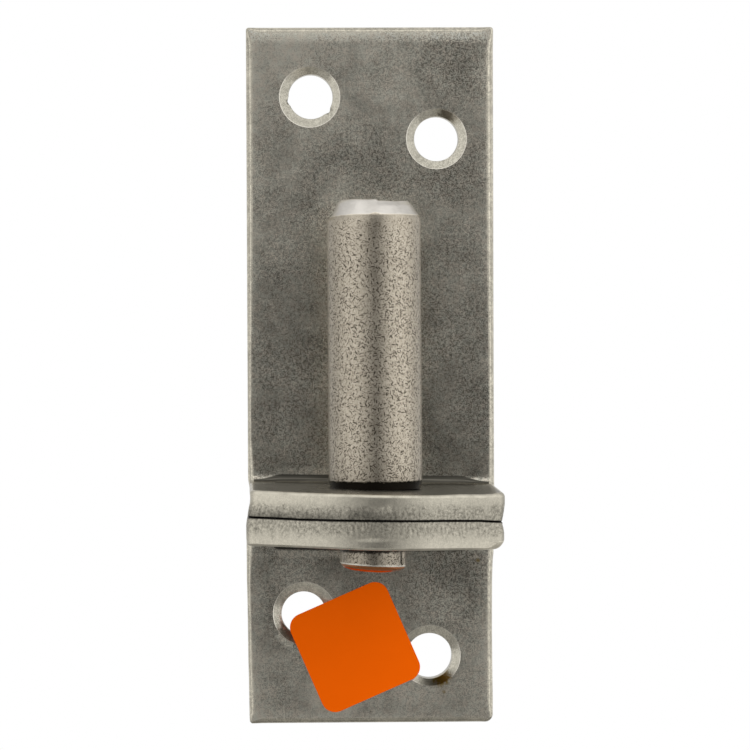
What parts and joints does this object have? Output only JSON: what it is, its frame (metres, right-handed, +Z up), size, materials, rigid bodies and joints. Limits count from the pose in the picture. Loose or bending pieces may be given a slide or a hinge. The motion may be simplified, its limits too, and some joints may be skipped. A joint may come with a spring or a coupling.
{
  "type": "gate hinge pin",
  "caption": "Stainless gate hinge pin: bent angle plates with round-nosed flanges back to back, countersunk screw holes and an upright shouldered pin.",
  "frame": {"origin": "on the pin's axis, at the top face of the upper flange, where the hinge's eye rests", "axes": "+Z up along the pin, +Y into the post behind the plates, +X to the right seen from the front"},
  "size_m": [0.035, 0.0384, 0.0987],
  "materials": {
    "plate_steel": "tumbled stainless sheet, grey and mottled, with bright rolled edges",
    "pin_steel": "tumbled stainless bar, light grey with dark fleck marks",
    "label_orange": "blank orange adhesive label"
  },
  "bodies": {
    "root": {"upper_plate": "plate_steel", "lower_plate": "plate_steel", "hinge_pin": "pin_steel"}
  },
  "joints": []
}
